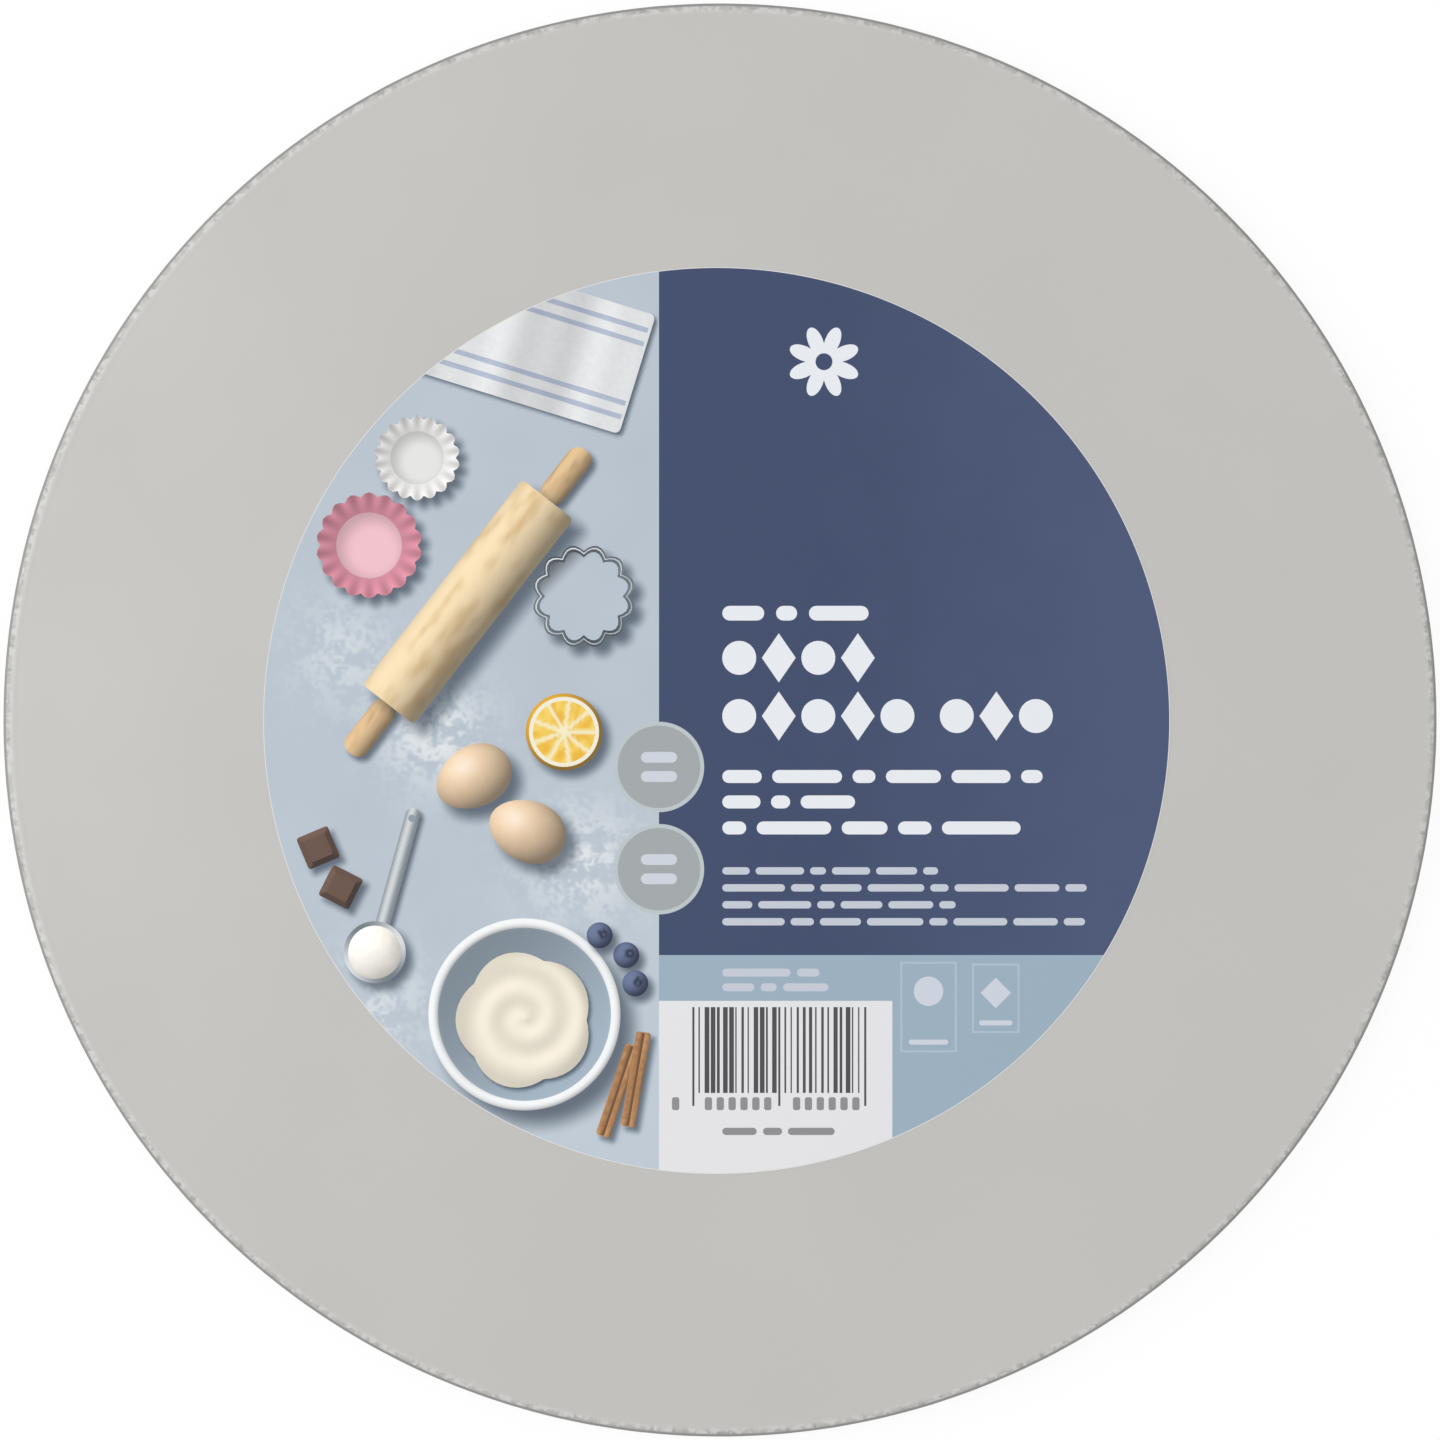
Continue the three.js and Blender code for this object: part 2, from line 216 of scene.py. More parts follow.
# A painted shadow line where one pleat laps over the next, marked on the mesh
painted_lap_shadow = add(nodes, "ShaderNodeAttribute", attribute_name="fold").node.outputs["Fac"]
foil_colour = add(
    nodes,
    "ShaderNodeMix",
    {"Factor": painted_lap_shadow, "A": either_side, "B": linear("#7c7b79")},
    data_type="RGBA",
)
satin = add(nodes, "ShaderNodeMapRange", {"Value": clouds, "To Min": 0.36, "To Max": 0.43})
# The stretched foil on the shoulder and the turned edge is duller
dull_share = add(nodes, "ShaderNodeMath", {0: shoulder, 1: on_top}, operation="MULTIPLY")
foil_roughness = add(nodes, "ShaderNodeMix", {"Factor": dull_share, "A": satin, "B": 0.8})
surface = add(
    nodes,
    "ShaderNodeBsdfPrincipled",
    {"Base Color": foil_colour, "Metallic": 1, "Roughness": foil_roughness, "Normal": bump},
)
add(nodes, "ShaderNodeOutputMaterial", {"Surface": surface})

# Uncoated backing paper: dull off-white, with a fibre grain, and the pleats under it showing
# through as faint ribs near its edge
backing = new_material("uncoated_backing_paper")
nodes = backing.node_tree
place = add(nodes, "ShaderNodeTexCoord").node.outputs["Object"]
outward = add(nodes, "ShaderNodeVectorMath", {0: place}, operation="NORMALIZE")
from_middle = add(
    nodes, "ShaderNodeVectorMath", {0: place}, operation="LENGTH"
).node.outputs["Value"]
ribs = add(
    nodes,
    "ShaderNodeTexNoise",
    {"Vector": outward, "Scale": backing_radius / (5 * mm), "Detail": 1},
)
near_edge = add(
    nodes,
    "ShaderNodeMapRange",
    {"Value": from_middle, "From Min": 108 * mm, "From Max": 118 * mm},
    interpolation_type="SMOOTHSTEP",
)
rib_relief = add(nodes, "ShaderNodeMath", {0: ribs, 1: near_edge}, operation="MULTIPLY")
rib_depth = 0.3 * mm
rib_height = add(nodes, "ShaderNodeMath", {0: rib_relief, 1: rib_depth}, operation="MULTIPLY")
# Fibre bundles about 0.6 mm long, drawn coarser than real ones so that they show
bundle_height = 0.03 * mm
fibres = add(
    nodes, "ShaderNodeTexNoise", {"Vector": place, "Scale": 1 / (0.6 * mm), "Detail": 4}
)
relief = add(
    nodes, "ShaderNodeMath", {0: fibres, 1: bundle_height, 2: rib_height}, operation="MULTIPLY_ADD"
)
bump = add(nodes, "ShaderNodeBump", {"Strength": 1, "Distance": 1, "Height": relief})
paper_colour = add(
    nodes,
    "ShaderNodeMix",
    {"Factor": fibres, "A": linear("#dcd9d2"), "B": linear("#ebe9e3")},
    data_type="RGBA",
)
surface = add(
    nodes,
    "ShaderNodeBsdfPrincipled",
    {"Base Color": paper_colour, "Roughness": 0.85, "Normal": bump},
)
add(nodes, "ShaderNodeOutputMaterial", {"Surface": surface})

# The board's shape: a drum with fine rings towards its edge, its corners rounded, and the pleats'
# valleys pressed in from the skin underneath and up the wall
shape = bpy.data.node_groups.new("foil_wrapped_board", "GeometryNodeTree")
shape.interface.new_socket("Geometry", in_out="OUTPUT", socket_type="NodeSocketGeometry")
sizes = {
    "Radius": board_radius,
    "Thickness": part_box("board")[1][2],
    "Top edge radius": 0.8 * mm,
    "Bottom edge radius": 1 * mm,
    "Backing radius": backing_radius,
    "Backing step": backing_step,
    "Pleat height": 0.18 * mm,
    "Crumple height": 0.03 * mm,
    "Pleats": 96,
    "Columns in a pleat": 15,
    "Rings": 15,
    "Seed": 7,
    "Foil": foil,
    "Backing": backing,
}
socket_types = {float: "NodeSocketFloat", int: "NodeSocketInt"}
for name, value in sizes.items():
    socket_type = socket_types.get(type(value), "NodeSocketMaterial")
    shape.interface.new_socket(name, in_out="INPUT", socket_type=socket_type)
given = shape.nodes.new("NodeGroupInput").outputs
columns = add(
    shape,
    "ShaderNodeMath",
    {0: given["Pleats"], 1: given["Columns in a pleat"]},
    operation="MULTIPLY",
)
drum_height = add(
    shape, "ShaderNodeMath", {0: given["Thickness"], 1: given["Backing step"]}, operation="SUBTRACT"
)
drum = add(
    shape,
    "GeometryNodeMeshCylinder",
    {
        "Vertices": columns,
        "Side Segments": 14,
        "Fill Segments": given["Rings"],
        "Radius": given["Radius"],
        "Depth": drum_height,
    },
    fill_type="TRIANGLE_FAN",
)
position = add(shape, "GeometryNodeInputPosition")
flat = add(shape, "ShaderNodeVectorMath", {0: position, 1: (1, 1, 0)}, operation="MULTIPLY")
outward = add(shape, "ShaderNodeVectorMath", {0: flat}, operation="NORMALIZE")
reach = add(shape, "ShaderNodeVectorMath", {0: flat}, operation="LENGTH").node.outputs["Value"]
# Rings crowd towards the edge: 1 - (1 - share) cubed
share = add(shape, "ShaderNodeMath", {0: reach, 1: given["Radius"]}, operation="DIVIDE")
short = add(shape, "ShaderNodeMath", {0: 1.0, 1: share}, operation="SUBTRACT")
cubed = add(shape, "ShaderNodeMath", {0: short, 1: 3.0}, operation="POWER")
crowded = add(shape, "ShaderNodeMath", {0: 1.0, 1: cubed}, operation="SUBTRACT")
reach = add(shape, "ShaderNodeMath", {0: crowded, 1: given["Radius"]}, operation="MULTIPLY")
z = add(shape, "ShaderNodeSeparateXYZ", {0: position}).node.outputs["Z"]
half = add(shape, "ShaderNodeMath", {0: drum_height, 1: 0.5}, operation="MULTIPLY")
lift = add(shape, "ShaderNodeMath", {0: half, 1: given["Backing step"]}, operation="ADD")
z = add(shape, "ShaderNodeMath", {0: z, 1: lift}, operation="ADD")
# The corner's radius, and the core that it is rounded about
is_upper = add(shape, "FunctionNodeCompare", {"A": z, "B": lift}, operation="GREATER_THAN")
corner = add(
    shape,
    "GeometryNodeSwitch",
    {
        "Switch": is_upper,
        "False": given["Bottom edge radius"],
        "True": given["Top edge radius"],
    },
    input_type="FLOAT",
)
core_limit = add(shape, "ShaderNodeMath", {0: given["Radius"], 1: corner}, operation="SUBTRACT")
core_reach = add(shape, "ShaderNodeMath", {0: reach, 1: core_limit}, operation="MINIMUM")
core_low = add(shape, "ShaderNodeMath", {0: given["Backing step"], 1: corner}, operation="ADD")
core_high = add(shape, "ShaderNodeMath", {0: given["Thickness"], 1: corner}, operation="SUBTRACT")
core_z = add(shape, "ShaderNodeClamp", {"Value": z, "Min": core_low, "Max": core_high})
out = add(shape, "ShaderNodeMath", {0: reach, 1: core_reach}, operation="SUBTRACT")
up = add(shape, "ShaderNodeMath", {0: z, 1: core_z}, operation="SUBTRACT")
out_part = add(shape, "ShaderNodeVectorMath", {0: outward, "Scale": out}, operation="SCALE")
up_part = add(shape, "ShaderNodeCombineXYZ", {"Z": up})
lean = add(shape, "ShaderNodeVectorMath", {0: out_part, 1: up_part}, operation="ADD")
skin = add(shape, "ShaderNodeVectorMath", {0: lean}, operation="NORMALIZE")
# Pleats: each rises slowly and ends in a sharp fold. They wander a little and aren't all as full.
x = add(shape, "ShaderNodeSeparateXYZ", {0: position})
y = x.node.outputs["Y"]
angle = add(shape, "ShaderNodeMath", {0: y, 1: x}, operation="ARCTAN2")
turns = add(shape, "ShaderNodeMath", {0: angle, 1: 2 * np.pi}, operation="DIVIDE")
seed_step = 3.7
seeded = add(shape, "ShaderNodeMath", {0: given["Seed"], 1: seed_step}, operation="MULTIPLY")
wander = add(
    shape,
    "ShaderNodeTexNoise",
    {"Vector": outward, "W": seeded, "Scale": 14.0, "Detail": 1.0},
    noise_dimensions="4D",
)
count = add(
    shape, "ShaderNodeMath", {0: turns, 1: given["Pleats"], 2: wander}, operation="MULTIPLY_ADD"
)
along = add(shape, "ShaderNodeMath", {0: count}, operation="FRACT")
# Shares of a pleat's width at which its fold has ended and its rise is full
fold_end, rise_end = 0.07, 0.9
rise = add(
    shape, "ShaderNodeMapRange", {"Value": along, "From Min": fold_end, "From Max": rise_end}
)
fold = add(
    shape,
    "ShaderNodeMapRange",
    {"Value": along, "From Min": 0.0, "From Max": fold_end, "To Min": 1.0, "To Max": 0.0},
)
ridge = add(shape, "ShaderNodeMath", {0: rise, 1: fold}, operation="MAXIMUM")
fullness = add(
    shape,
    "ShaderNodeTexNoise",
    {"Vector": outward, "W": given["Seed"], "Scale": 22.0, "Detail": 1.0},
    noise_dimensions="4D",
)
# The noise lies about 0.5, and a pleat is full at 1
to_full = 0.5
fullness = add(shape, "ShaderNodeMath", {0: fullness, 1: to_full}, operation="ADD")
ridge = add(shape, "ShaderNodeMath", {0: ridge, 1: fullness}, operation="MULTIPLY")
valley = add(shape, "ShaderNodeMath", {0: 1.0, 1: ridge}, operation="SUBTRACT", use_clamp=True)
# They fade up the wall, and under the backing paper
rest = add(
    shape,
    "ShaderNodeMapRange",
    {
        "Value": z,
        "From Min": given["Backing step"],
        "From Max": given["Thickness"],
        "To Min": 1.0,
        "To Max": 0.0,
    },
)
fade_power, fade_width = 1.7, 3 * mm
fade_up = add(shape, "ShaderNodeMath", {0: rest, 1: fade_power}, operation="POWER")
inside = add(
    shape, "ShaderNodeMath", {0: given["Backing radius"], 1: fade_width}, operation="SUBTRACT"
)
fade_in = add(
    shape,
    "ShaderNodeMapRange",
    {"Value": reach, "From Min": inside, "From Max": given["Backing radius"]},
)
felt = add(shape, "ShaderNodeMath", {0: fade_up, 1: fade_in}, operation="MULTIPLY")
valley = add(shape, "ShaderNodeMath", {0: valley, 1: felt}, operation="MULTIPLY")
depth = add(shape, "ShaderNodeMath", {0: valley, 1: given["Pleat height"]}, operation="MULTIPLY")
# Small crumples of the foil on the shoulder and the wall, 2 mm across
crumple = add(
    shape,
    "ShaderNodeTexNoise",
    {"Vector": position, "W": seeded, "Scale": 1 / (2 * mm), "Detail": 1.0},
    noise_dimensions="4D",
)
on_edge = add(
    shape,
    "ShaderNodeMapRange",
    {"Value": reach, "From Min": board_radius - 2 * mm, "From Max": board_radius - 0.6 * mm},
)
crumple = add(shape, "ShaderNodeMath", {0: crumple, 1: on_edge}, operation="MULTIPLY")
depth = add(
    shape,
    "ShaderNodeMath",
    {0: crumple, 1: given["Crumple height"], 2: depth},
    operation="MULTIPLY_ADD",
)
# Marks the lap of each pleat for the foil's painted shadow line, before the skin is moved: 0.5 off
# the pleat's middle is the lap itself
lap_from, lap_shadow_darkest = 0.43, 0.85
off_middle = add(shape, "ShaderNodeMath", {0: along, 1: 0.5}, operation="SUBTRACT")
off_middle = add(shape, "ShaderNodeMath", {0: off_middle}, operation="ABSOLUTE")
lap_shadow = add(
    shape,
    "ShaderNodeMapRange",
    {"Value": off_middle, "From Min": lap_from, "From Max": 0.5, "To Max": lap_shadow_darkest},
)
lap_shadow = add(shape, "ShaderNodeMath", {0: lap_shadow, 1: felt}, operation="MULTIPLY")
drum = add(
    shape,
    "GeometryNodeStoreNamedAttribute",
    {"Geometry": drum, "Name": "fold", "Value": lap_shadow},
    data_type="FLOAT",
    domain="POINT",
)
proud = add(shape, "ShaderNodeMath", {0: corner, 1: depth}, operation="SUBTRACT")
core = add(shape, "ShaderNodeVectorMath", {0: outward, "Scale": core_reach}, operation="SCALE")
core_up = add(shape, "ShaderNodeCombineXYZ", {"Z": core_z})
core = add(shape, "ShaderNodeVectorMath", {0: core, 1: core_up}, operation="ADD")
rounded = add(shape, "ShaderNodeVectorMath", {0: skin, "Scale": proud}, operation="SCALE")
placed = add(shape, "ShaderNodeVectorMath", {0: core, 1: rounded}, operation="ADD")
wrapped = add(shape, "GeometryNodeSetPosition", {"Geometry": drum, "Position": placed})
wrapped = add(shape, "GeometryNodeSetShadeSmooth", {"Geometry": wrapped})
# Backing paper, let into the card so that no gap shows over a valley
paper_depth = add(shape, "ShaderNodeMath", {0: given["Backing step"], 1: 2.0}, operation="MULTIPLY")
paper = add(
    shape,
    "GeometryNodeMeshCylinder",
    {
        "Vertices": 288,
        "Side Segments": 1,
        "Fill Segments": 3,
        "Radius": given["Backing radius"],
        "Depth": paper_depth,
    },
    fill_type="TRIANGLE_FAN",
)
paper_place = add(shape, "ShaderNodeCombineXYZ", {"Z": given["Backing step"]})
paper = add(shape, "GeometryNodeTransform", {"Geometry": paper, "Translation": paper_place})
paper = add(
    shape,
    "GeometryNodeStoreNamedAttribute",
    {"Geometry": paper, "Name": "is_paper", "Value": True},
    data_type="BOOLEAN",
    domain="FACE",
)
both = add(shape, "GeometryNodeJoinGeometry", {"Geometry": wrapped})
shape.links.new(paper, both.node.inputs[0])
both = add(shape, "GeometryNodeRealizeInstances", {"Geometry": both})
both = add(shape, "GeometryNodeSetMaterial", {"Geometry": both, "Material": given["Foil"]})
is_paper = add(shape, "GeometryNodeInputNamedAttribute", {"Name": "is_paper"}, data_type="BOOLEAN")
both = add(
    shape,
    "GeometryNodeSetMaterial",
    {"Geometry": both, "Selection": is_paper, "Material": given["Backing"]},
)
add(shape, "NodeGroupOutput", {"Geometry": both})

board = bpy.data.objects.new("foil_board", bpy.data.meshes.new("foil_board"))
bpy.context.scene.collection.objects.link(board)
maker = board.modifiers.new("shape", "NODES")
maker.node_group = shape
for socket in shape.interface.items_tree:
    if socket.in_out == "INPUT":
        maker[socket.identifier] = sizes[socket.name]
evaluated = board.evaluated_get(bpy.context.evaluated_depsgraph_get())
plain = bpy.data.meshes.new_from_object(evaluated)
board.modifiers.clear()
board.data = plain
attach(board, "root")
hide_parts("board")

# Label: a round sheet of coated paper, printed in colour and cut with a round die. It lies flat on
# the middle of the board. The left half is a picture of baking things on a pale table, and the
# right half is a dark field with its print in white over a pale band.

label_low, label_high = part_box("label")
label_middle = [(low + high) / 2 for low, high in zip(label_low, label_high)][:2]
# Sizes of the print in mm from the label's middle
label_radius = 80.25
cut_edge = 0.15
seam = -10.2
band_top = -41.5
text_left = 1
# Where the lamp of the picture stands, and which way, how dark and how wide a shadow falls
lamp_side = (-0.62, 0.62)
shadow_side, shadow_depth, shadow_width = (0.75, -0.8), 0.62, 0.8


def disc(x, y, radius, count=64):
    """Outline of a circle."""
    angle = np.linspace(0, 2 * np.pi, count, endpoint=False)
    return np.column_stack((x + radius * np.cos(angle), y + radius * np.sin(angle)))


def turned(points, x, y, turn=0.0):
    """Points about the origin, turned and moved to their place."""
    u, v = np.array(points, float).T
    c, s = np.cos(turn), np.sin(turn)
    return np.column_stack((x + u * c - v * s, y + u * s + v * c))


def bar(x, y, length, width, turn=0.0, corner=None):
    """Outline of a bar about its middle, with rounded corners."""
    corner = min(width, length) / 2 if corner is None else corner
    outline = []
    for quarter, (sx, sy) in enumerate(((1, 1), (-1, 1), (-1, -1), (1, -1))):
        for angle in np.linspace(0, np.pi / 2, 5) + quarter * np.pi / 2:
            outline.append(
                (
                    sx * (length / 2 - corner) + corner * np.cos(angle),
                    sy * (width / 2 - corner) + corner * np.sin(angle),
                )
            )
    return turned(outline, x, y, turn)


def block(left, top, width, height):
    """Outline of an upright rectangle from its upper left corner."""
    right, bottom = left + width, top - height
    return np.array([(left, bottom), (right, bottom), (right, top), (left, top)], float)


def lobed(x, y, radius, lobes, depth, points_per_lobe):
    """Round outline of full lobes that meet in sharp valleys."""
    angle = np.linspace(0, 2 * np.pi, lobes * points_per_lobe, endpoint=False)
    reach = radius - depth * (1 - np.abs(np.sin(lobes * angle / 2)))
    return np.column_stack((x + reach * np.cos(angle), y + reach * np.sin(angle)))


def lozenge(x, y, width, height):
    """Outline of an upright lozenge."""
    return turned([(-width / 2, 0), (0, -height / 2), (width / 2, 0), (0, height / 2)], x, y)


def smooth(start, end, value):
    """0 before start and 1 after end, with a soft step between them."""
    share = np.clip((value - start) / (end - start), 0, 1)
    return share * share * (3 - 2 * share)


def cloud(x, y, size, seed):
    """Smooth noise from -1 to 1, with blotches about as large as size in mm."""
    return np.array([noise.noise(Vector((a / size, b / size, seed))) for a, b in zip(x, y)])


def mixed(first, second, share):
    """One colour turning into another, point by point."""
    share = np.asarray(share)[:, None]
    return first * (1 - share) + second * share


def lit(lean_x, lean_y, shade=0.6):
    """Brightness of a rounded thing where it leans that way, with the lamp to the upper left."""
    from_side, from_above, brightest, strength = 0.62, 0.72, 1.32, 0.8
    upright = np.sqrt(np.clip(1 - lean_x**2 - lean_y**2, 0, 1))
    facing = from_side * (lamp_side[0] * lean_x + lamp_side[1] * lean_y) + from_above * upright
    return shade + (brightest - shade) * np.clip(facing, 0, 1) * strength


def local(x, y, middle_x, middle_y, turn):
    """Points as a turned thing sees them: along it and across it."""
    u = (x - middle_x) * np.cos(turn) + (y - middle_y) * np.sin(turn)
    v = (y - middle_y) * np.cos(turn) - (x - middle_x) * np.sin(turn)
    return u, v


def polar(x, y, middle_x, middle_y):
    """Direction and distance of points from a middle."""
    return np.arctan2(y - middle_y, x - middle_x), np.hypot(x - middle_x, y - middle_y)


def distance(x, y, outline):
    """Distance of points from an outline in mm, negative inside it."""
    nearest = np.full(len(x), np.inf)
    inside = np.zeros(len(x), bool)
    for (ax, ay), (bx, by) in zip(outline, np.roll(outline, -1, axis=0)):
        ex, ey = bx - ax, by - ay
        px, py = x - ax, y - ay
        share = np.clip((px * ex + py * ey) / max(ex * ex + ey * ey, 1e-12), 0, 1)
        nearest = np.minimum(nearest, np.hypot(px - share * ex, py - share * ey))
        if ay != by:
            inside ^= ((ay > y) != (by > y)) & (px < ex * py / ey)
    return np.where(inside, -nearest, nearest)


# The figures of the print from the first laid down to the last. Each has its outline in mm from
# the label's middle, its ink or the way it is painted, and how high the pictured thing stands.
figures = []


def lay(outline, paint, stands=0.0, slot="picture"):
    """Lays a figure over those before it."""
    figures.append({"outline": outline, "paint": paint, "stands": stands, "slot": slot})


def fill(outline, slot):
    """Lays a figure that is printed in one flat ink."""
    lay(outline, None, slot=slot)


# Flour spilt on the table: place, reach and how thick
spills = [(-50, -2, 9, 0.9), (-24, -25, 10, 0.8), (-60, -50, 10, 0.55), (-66, 12, 9, 0.5)]


def table(x, y):
    """Pale blue table top, a little lighter to the lower right, with flour on it."""
    top = mixed(colour("#b6c1cc"), colour("#bdc8d2"), smooth(-40, 60, x - y))
    top = top * (1 + 0.012 * cloud(x, y, 9, 1.5))[:, None]
    fine, coarse = cloud(x, y, 0.9, 4.1), cloud(x, y, 3.2, 7.7)
    flour = np.zeros(len(x))
    for spill_x, spill_y, reach, thick in spills:
        away = np.hypot(x - spill_x, y - spill_y) / reach
        flour += thick * np.exp(-away * away) * smooth(-0.35, 0.4, coarse + 1.1 * fine)
    return mixed(top, colour("#e8ebec"), np.clip(flour, 0, 0.85))


cloth_x, cloth_y, cloth_turn = -36, 68, -0.3
cloth_tone = colour("#d6d8d9")


def cloth(x, y):
    """Cotton cloth with a fine weave and soft folds."""
    u, _ = local(x, y, 0, 0, cloth_turn)
    weave = 1 + 0.03 * cloud(x, y, 0.7, 6.2)
    folds = 1 + 0.06 * np.sin(u / 3.4) + 0.03 * np.sin(u / 1.3 + 1)
    return cloth_tone * (weave * folds)[:, None]


def cloth_stripe(x, y):
    """The cloth's woven stripes, dyed a soft blue."""
    return cloth(x, y) * colour("#a3adbf") / cloth_tone * 1.02


lay(bar(cloth_x, cloth_y, 46, 22, cloth_turn, 1), cloth, 0.7)
for across in (-8, -5.5, 5.5, 8):
    stripe_x = cloth_x - across * np.sin(cloth_turn)
    stripe_y = cloth_y + across * np.cos(cloth_turn)
    lay(bar(stripe_x, stripe_y, 45, 0.9, cloth_turn, 0.1), cloth_stripe)

pin_x, pin_y, pin_turn = -44, 21, 0.91
pin_length, grip_length, grip_overlap = 46, 11.5, 1


def wood(x, y, half_width, pale, dark):
    """The rolling pin's turned beech: round across, with long streaks of grain."""
    u, v = local(x, y, pin_x, pin_y, pin_turn)
    v = v / half_width
    streaks = cloud(u / 9, v * 2.6, 1, 2.2) + 0.5 * cloud(u / 3, v * 7, 1, 5.4)
    grained = mixed(colour(pale), colour(dark), smooth(-0.2, 1.1, streaks))
    return grained * lit(-v * np.sin(pin_turn), v * np.cos(pin_turn))[:, None]


for end in (-1, 1):
    away = end * (pin_length + grip_length - grip_overlap) / 2
    grip_x, grip_y = pin_x + away * np.cos(pin_turn), pin_y + away * np.sin(pin_turn)
    grip = bar(grip_x, grip_y, grip_length, 4.6, pin_turn, 2)
    lay(grip, lambda x, y: wood(x, y, 2.4, "#cfb086", "#a98860"), 1)
roller = bar(pin_x, pin_y, pin_length, 11.5, pin_turn, 0.9)
lay(roller, lambda x, y: wood(x, y, 5.9, "#e0cba6", "#c6aa7d"), 2.6)


def paper_case(case_x, case_y, radius, wall, base):
    """Baking case seen from above: a fluted wall that opens outwards, and a flat base."""
    base_radius, flute_count = 0.62 * radius, 18

    def wall_paint(x, y):
        angle, reach = polar(x, y, case_x, case_y)
        flutes = np.cos(flute_count * angle) * smooth(0.55, 1, reach / radius)
        facing = 0.6 * (np.cos(angle) * -lamp_side[0] + np.sin(angle) * -lamp_side[1])
        bright = 0.93 + 0.13 * flutes + 0.14 * facing
        return colour(wall) * bright[:, None]

    def base_paint(x, y):
        reach = np.hypot(x - case_x - 0.8, y - case_y + 0.8) / base_radius
        return colour(base) * (1.03 - 0.2 * smooth(0.55, 1.25, reach))[:, None]

    lay(lobed(case_x, case_y, radius, flute_count, 0.8, 4), wall_paint, 1.6)
    lay(disc(case_x, case_y, base_radius), base_paint)


paper_case(-61.5, 31, 9.4, "#d48a9b", "#e8b9c3")
paper_case(-53, 46.5, 7.6, "#e9e8e6", "#dcdcda")


cutter_x, cutter_y = -23.5, 22


def cutter_wall(x, y):
    """Bent tin-plate strip seen from above: dark, with a dull gleam on two sides."""
    angle, _ = polar(x, y, cutter_x, cutter_y)
    gleam = 0.5 + 0.5 * np.sin(2 * angle + 0.9) * (0.7 + 0.3 * np.sin(12 * angle))
    return mixed(colour("#3f474f"), colour("#737c85"), gleam)


def cutter_edge(x, y):
    """The strip's upper edge, which catches the light most to the upper left."""
    angle, _ = polar(x, y, cutter_x, cutter_y)
    gleam = 0.6 + 0.3 * np.cos(angle - 2.36) + 0.1 * np.sin(12 * angle)
    return mixed(colour("#8a939b"), colour("#e4e8ea"), gleam)


def inside_cutter(x, y):
    """The table inside the cutter, dark where the rim's upper left keeps the light off."""
    away = (x - cutter_x) * lamp_side[0] + (y - cutter_y) * lamp_side[1]
    return table(x, y) * (1 - 0.5 * smooth(3.5, 7.5, away))[:, None]


for radius, paint, stands in (
    (9.2, cutter_wall, 1.8),
    (8.85, cutter_edge, 0),
    (8.6, cutter_wall, 0),
    (8.05, inside_cutter, 0),
):
    lay(lobed(cutter_x, cutter_y, radius, 12, 1.2, 6), paint, stands)

lemon_x, lemon_y = -27, -2


def lemon_flesh(x, y):
    """Nine segments with pale skins between them, and juice sacs that run outwards."""
    segments = 9
    angle, reach = polar(x, y, lemon_x, lemon_y)
    across = np.abs((segments * angle / (2 * np.pi)) % 1 - 0.5)
    skin = 1 - smooth(0.15, 0.5, (0.5 - across) * 2 * np.pi * reach / segments)
    sacs = cloud(angle * 4.5, reach / 2.2, 1, 3.3)
    flesh = mixed(colour("#eab63a"), colour("#f6d468"), smooth(-0.4, 0.5, sacs))
    return mixed(flesh, colour("#f3ebc9"), np.clip(skin + (reach < 0.7), 0, 1))


def lemon_rind(x, y):
    """Rind round the slice, rounded outwards."""
    return colour("#dda62c") * lit((x - lemon_x) / 7, (y - lemon_y) / 7)[:, None]


lay(disc(lemon_x, lemon_y, 6.8), lemon_rind, 1.6)
lay(disc(lemon_x, lemon_y, 6.2), colour("#f0ead9"))
lay(disc(lemon_x, lemon_y, 5.5), lemon_flesh)

bowl_x, bowl_y, bowl_radius = -34, -52, 17
batter_y, batter_radius = -53, 12.2


def bowl_wall(x, y):
    """Glazed inside of the bowl: its upper left is in its own shade."""
    away = ((x - bowl_x) * lamp_side[0] + (y - bowl_y) * lamp_side[1]) / bowl_radius
    _, reach = polar(x, y, bowl_x, bowl_y)
    bright = 0.97 - 0.26 * smooth(-0.9, 0.9, away) + 0.07 * smooth(0.86, 0.95, reach / bowl_radius)
    return colour("#a9bac9") * bright[:, None]


def bowl_rim(x, y):
    """Rolled enamel rim with a bright line along its crown."""
    crown, half_width = 0.95, 0.05
    angle, reach = polar(x, y, bowl_x, bowl_y)
    ring = (reach / bowl_radius - crown) / half_width
    bright = lit(0.8 * ring * np.cos(angle), 0.8 * ring * np.sin(angle), 0.7)
    return colour("#e3e5e6") * np.clip(bright, 0, 1.08)[:, None]


def batter(x, y):
    """Whipped batter, stirred into a spiral."""
    angle, reach = polar(x, y, bowl_x, batter_y)
    winding = angle - reach * 1.15
    wave = np.sin(winding + 0.5 * cloud(x, y, 4, 2.9))
    edge = smooth(0.78, 1.02, reach / batter_radius)
    slope = np.cos(winding) * (np.cos(angle) * -0.6 + np.sin(angle) * 0.6)
    bright = 0.97 + 0.035 * wave + 0.05 * slope - 0.12 * edge
    return colour("#f2ead8") * bright[:, None]


lay(disc(bowl_x, bowl_y, bowl_radius, count=96), bowl_rim, 3)
lay(disc(bowl_x, bowl_y, 15.3, count=96), bowl_wall)
lay(lobed(bowl_x, batter_y, batter_radius, 5, 1.2, 12), batter, 0.6)

